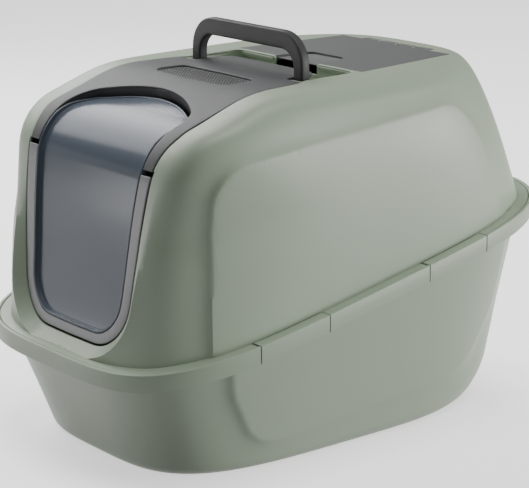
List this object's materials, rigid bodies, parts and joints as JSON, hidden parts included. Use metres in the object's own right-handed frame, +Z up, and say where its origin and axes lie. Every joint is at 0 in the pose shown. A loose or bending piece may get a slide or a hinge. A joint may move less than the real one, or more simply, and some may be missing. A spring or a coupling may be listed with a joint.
{
  "type": "hooded cat litter box",
  "caption": "Covered cat litter box: sloping-rim tray, clipped-on hood with a swinging smoked door under a tilting filter visor, a folding carrying handle and a hinged roof lid",
  "frame": {"origin": "on the floor, under the middle of the overall box", "axes": "+X across the width, -Y towards the door end, +Z up"},
  "size_m": [0.38, 0.56, 0.4233],
  "materials": {
    "green_plastic": "sage green moulded polypropylene with a satin shine",
    "grey_plastic": "dark grey moulded polypropylene with a satin shine",
    "dark_plastic": "charcoal moulded polypropylene",
    "light_grey_plastic": "light grey moulded plastic",
    "smoked_window": "see-through smoky blue-grey plastic",
    "carbon_pad": "black carbon fleece"
  },
  "bodies": {
    "tray": {"tray": "green_plastic"},
    "hood": {"hood": "green_plastic", "handle_pin_right": "dark_plastic", "handle_pin_left": "dark_plastic"},
    "visor": {"visor": "grey_plastic", "filter_grille": "dark_plastic", "filter_pad": "carbon_pad", "filter_holder": "grey_plastic"},
    "door": {"door_window": "smoked_window", "door_frame": "light_grey_plastic", "door_pin_right": "light_grey_plastic", "door_pin_left": "light_grey_plastic"},
    "handle": {"handle": "dark_plastic"},
    "lid": {"roof_lid": "grey_plastic"},
    "clip_right_front": {"clip_right_front": "green_plastic"},
    "clip_left_front": {"clip_left_front": "green_plastic"},
    "clip_right_rear": {"clip_right_rear": "green_plastic"},
    "clip_left_rear": {"clip_left_rear": "green_plastic"}
  },
  "joints": [
    {"name": "hood_lift", "type": "slide", "parent": "tray", "child": "hood", "axis": [0, 0, 1], "range_m": [0, 0.3]},
    {"name": "visor_tilt", "type": "hinge", "parent": "hood", "child": "visor", "pos_m": [0, -0.026, 0.371], "axis": [-1, 0, 0], "range_deg": [0, 42]},
    {"name": "door_swing", "type": "hinge", "parent": "visor", "child": "door", "pos_m": [0, -0.218, 0.317], "axis": [1, 0, 0], "range_deg": [-75, 75]},
    {"name": "handle_fold", "type": "hinge", "parent": "hood", "child": "handle", "pos_m": [0, -0.026, 0.371], "axis": [-1, 0, 0], "range_deg": [0, 90]},
    {"name": "lid_open", "type": "hinge", "parent": "hood", "child": "lid", "pos_m": [0, 0.1846, 0.38029], "axis": [-1, 0, 0], "range_deg": [0, 100]},
    {"name": "clip_right_front_open", "type": "hinge", "parent": "tray", "child": "clip_right_front", "pos_m": [0.18321, -0.116, 0.13841], "axis": [0.056, 0.9777, 0.2022], "range_deg": [0, 75]},
    {"name": "clip_left_front_open", "type": "hinge", "parent": "tray", "child": "clip_left_front", "pos_m": [-0.18321, -0.116, 0.13841], "axis": [0.056, -0.9777, -0.2022], "range_deg": [0, 75]},
    {"name": "clip_right_rear_open", "type": "hinge", "parent": "tray", "child": "clip_right_rear", "pos_m": [0.18408, 0.1005, 0.18318], "axis": [-0.0371, 0.9786, 0.2024], "range_deg": [0, 75]},
    {"name": "clip_left_rear_open", "type": "hinge", "parent": "tray", "child": "clip_left_rear", "pos_m": [-0.18408, 0.1005, 0.18318], "axis": [-0.0371, -0.9786, -0.2024], "range_deg": [0, 75]}
  ]
}
